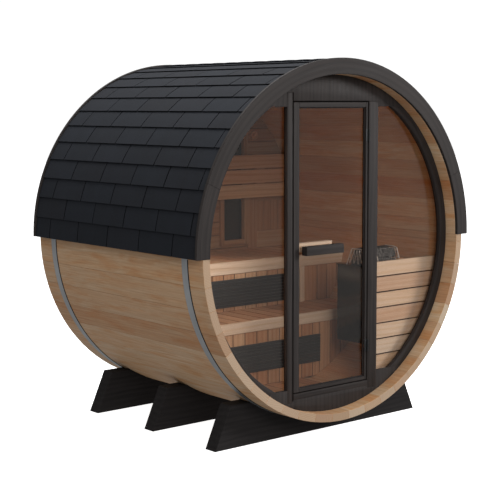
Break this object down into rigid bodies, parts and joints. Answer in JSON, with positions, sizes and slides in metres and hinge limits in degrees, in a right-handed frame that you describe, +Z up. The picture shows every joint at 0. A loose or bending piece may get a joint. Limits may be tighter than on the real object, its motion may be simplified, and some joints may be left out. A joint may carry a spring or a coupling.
{
  "type": "barrel sauna",
  "caption": "Round timber barrel sauna on cradles with a shingled upper half, steel bands, a glazed front with a hinged door, tiered benches and a heater behind a slatted guard.",
  "frame": {"origin": "on the ground, under the middle of the barrel", "axes": "+X to the right seen from the front, +Y from the door towards the back wall, +Z up"},
  "size_m": [2.08, 1.612, 2.1198],
  "materials": {
    "dark_timber": "dark stained, matt, fine grain",
    "stave_wood": "planed softwood, satin",
    "band_steel": "flat galvanised band",
    "roof_shingles": "mineral-faced bitumen shingle, matt",
    "tinted_glass": "bronze-tinted, polished",
    "hinge_metal": "black, satin",
    "cabin_wood": "heat-treated softwood, matt",
    "pale_wood": "planed softwood, matt",
    "heater_steel": "dark grey, satin",
    "stones": "rough heater stones"
  },
  "bodies": {
    "barrel": {"cradle_front": "dark_timber", "cradle_middle": "dark_timber", "cradle_rear": "dark_timber", "staves_right_upper": "stave_wood", "staves_crown": "stave_wood", "staves_left_upper": "stave_wood", "staves_left_lower": "stave_wood", "staves_bottom": "stave_wood", "staves_right_lower": "stave_wood", "steel_bands": "band_steel", "roof_right": "roof_shingles", "roof_crown": "roof_shingles", "roof_left": "roof_shingles", "fascia_front": "dark_timber", "fascia_rear": "dark_timber", "front_ring_left": "dark_timber", "front_ring_right": "dark_timber", "front_head_panel": "dark_timber", "front_sill_panel": "dark_timber", "threshold": "dark_timber", "post_handle_side": "dark_timber", "post_hinge_side": "dark_timber", "front_glass_left": "tinted_glass", "front_glass_right": "tinted_glass", "hinge_post_leaves": "hinge_metal", "rear_wall": "cabin_wood", "rear_window_frame": "pale_wood", "rear_window_glass": "tinted_glass", "floor": "cabin_wood", "lower_bench": "cabin_wood", "lower_riser": "cabin_wood", "lower_dark_panel": "dark_timber", "upper_bench": "cabin_wood", "upper_riser": "cabin_wood", "upper_dark_panel": "dark_timber", "backrest": "cabin_wood", "air_vent": "pale_wood", "heater_body": "heater_steel", "heater_stones": "stones", "heater_guard": "pale_wood"},
    "door": {"door_frame": "dark_timber", "door_glass": "tinted_glass", "door_handle_outer": "dark_timber", "door_handle_inner": "pale_wood", "hinge_door_leaves": "hinge_metal"}
  },
  "joints": [
    {"name": "door_hinge", "type": "hinge", "parent": "barrel", "child": "door", "pos_m": [0.274, -0.722, 1.08], "axis": [0, 0, 1], "range_deg": [0, 110]}
  ]
}
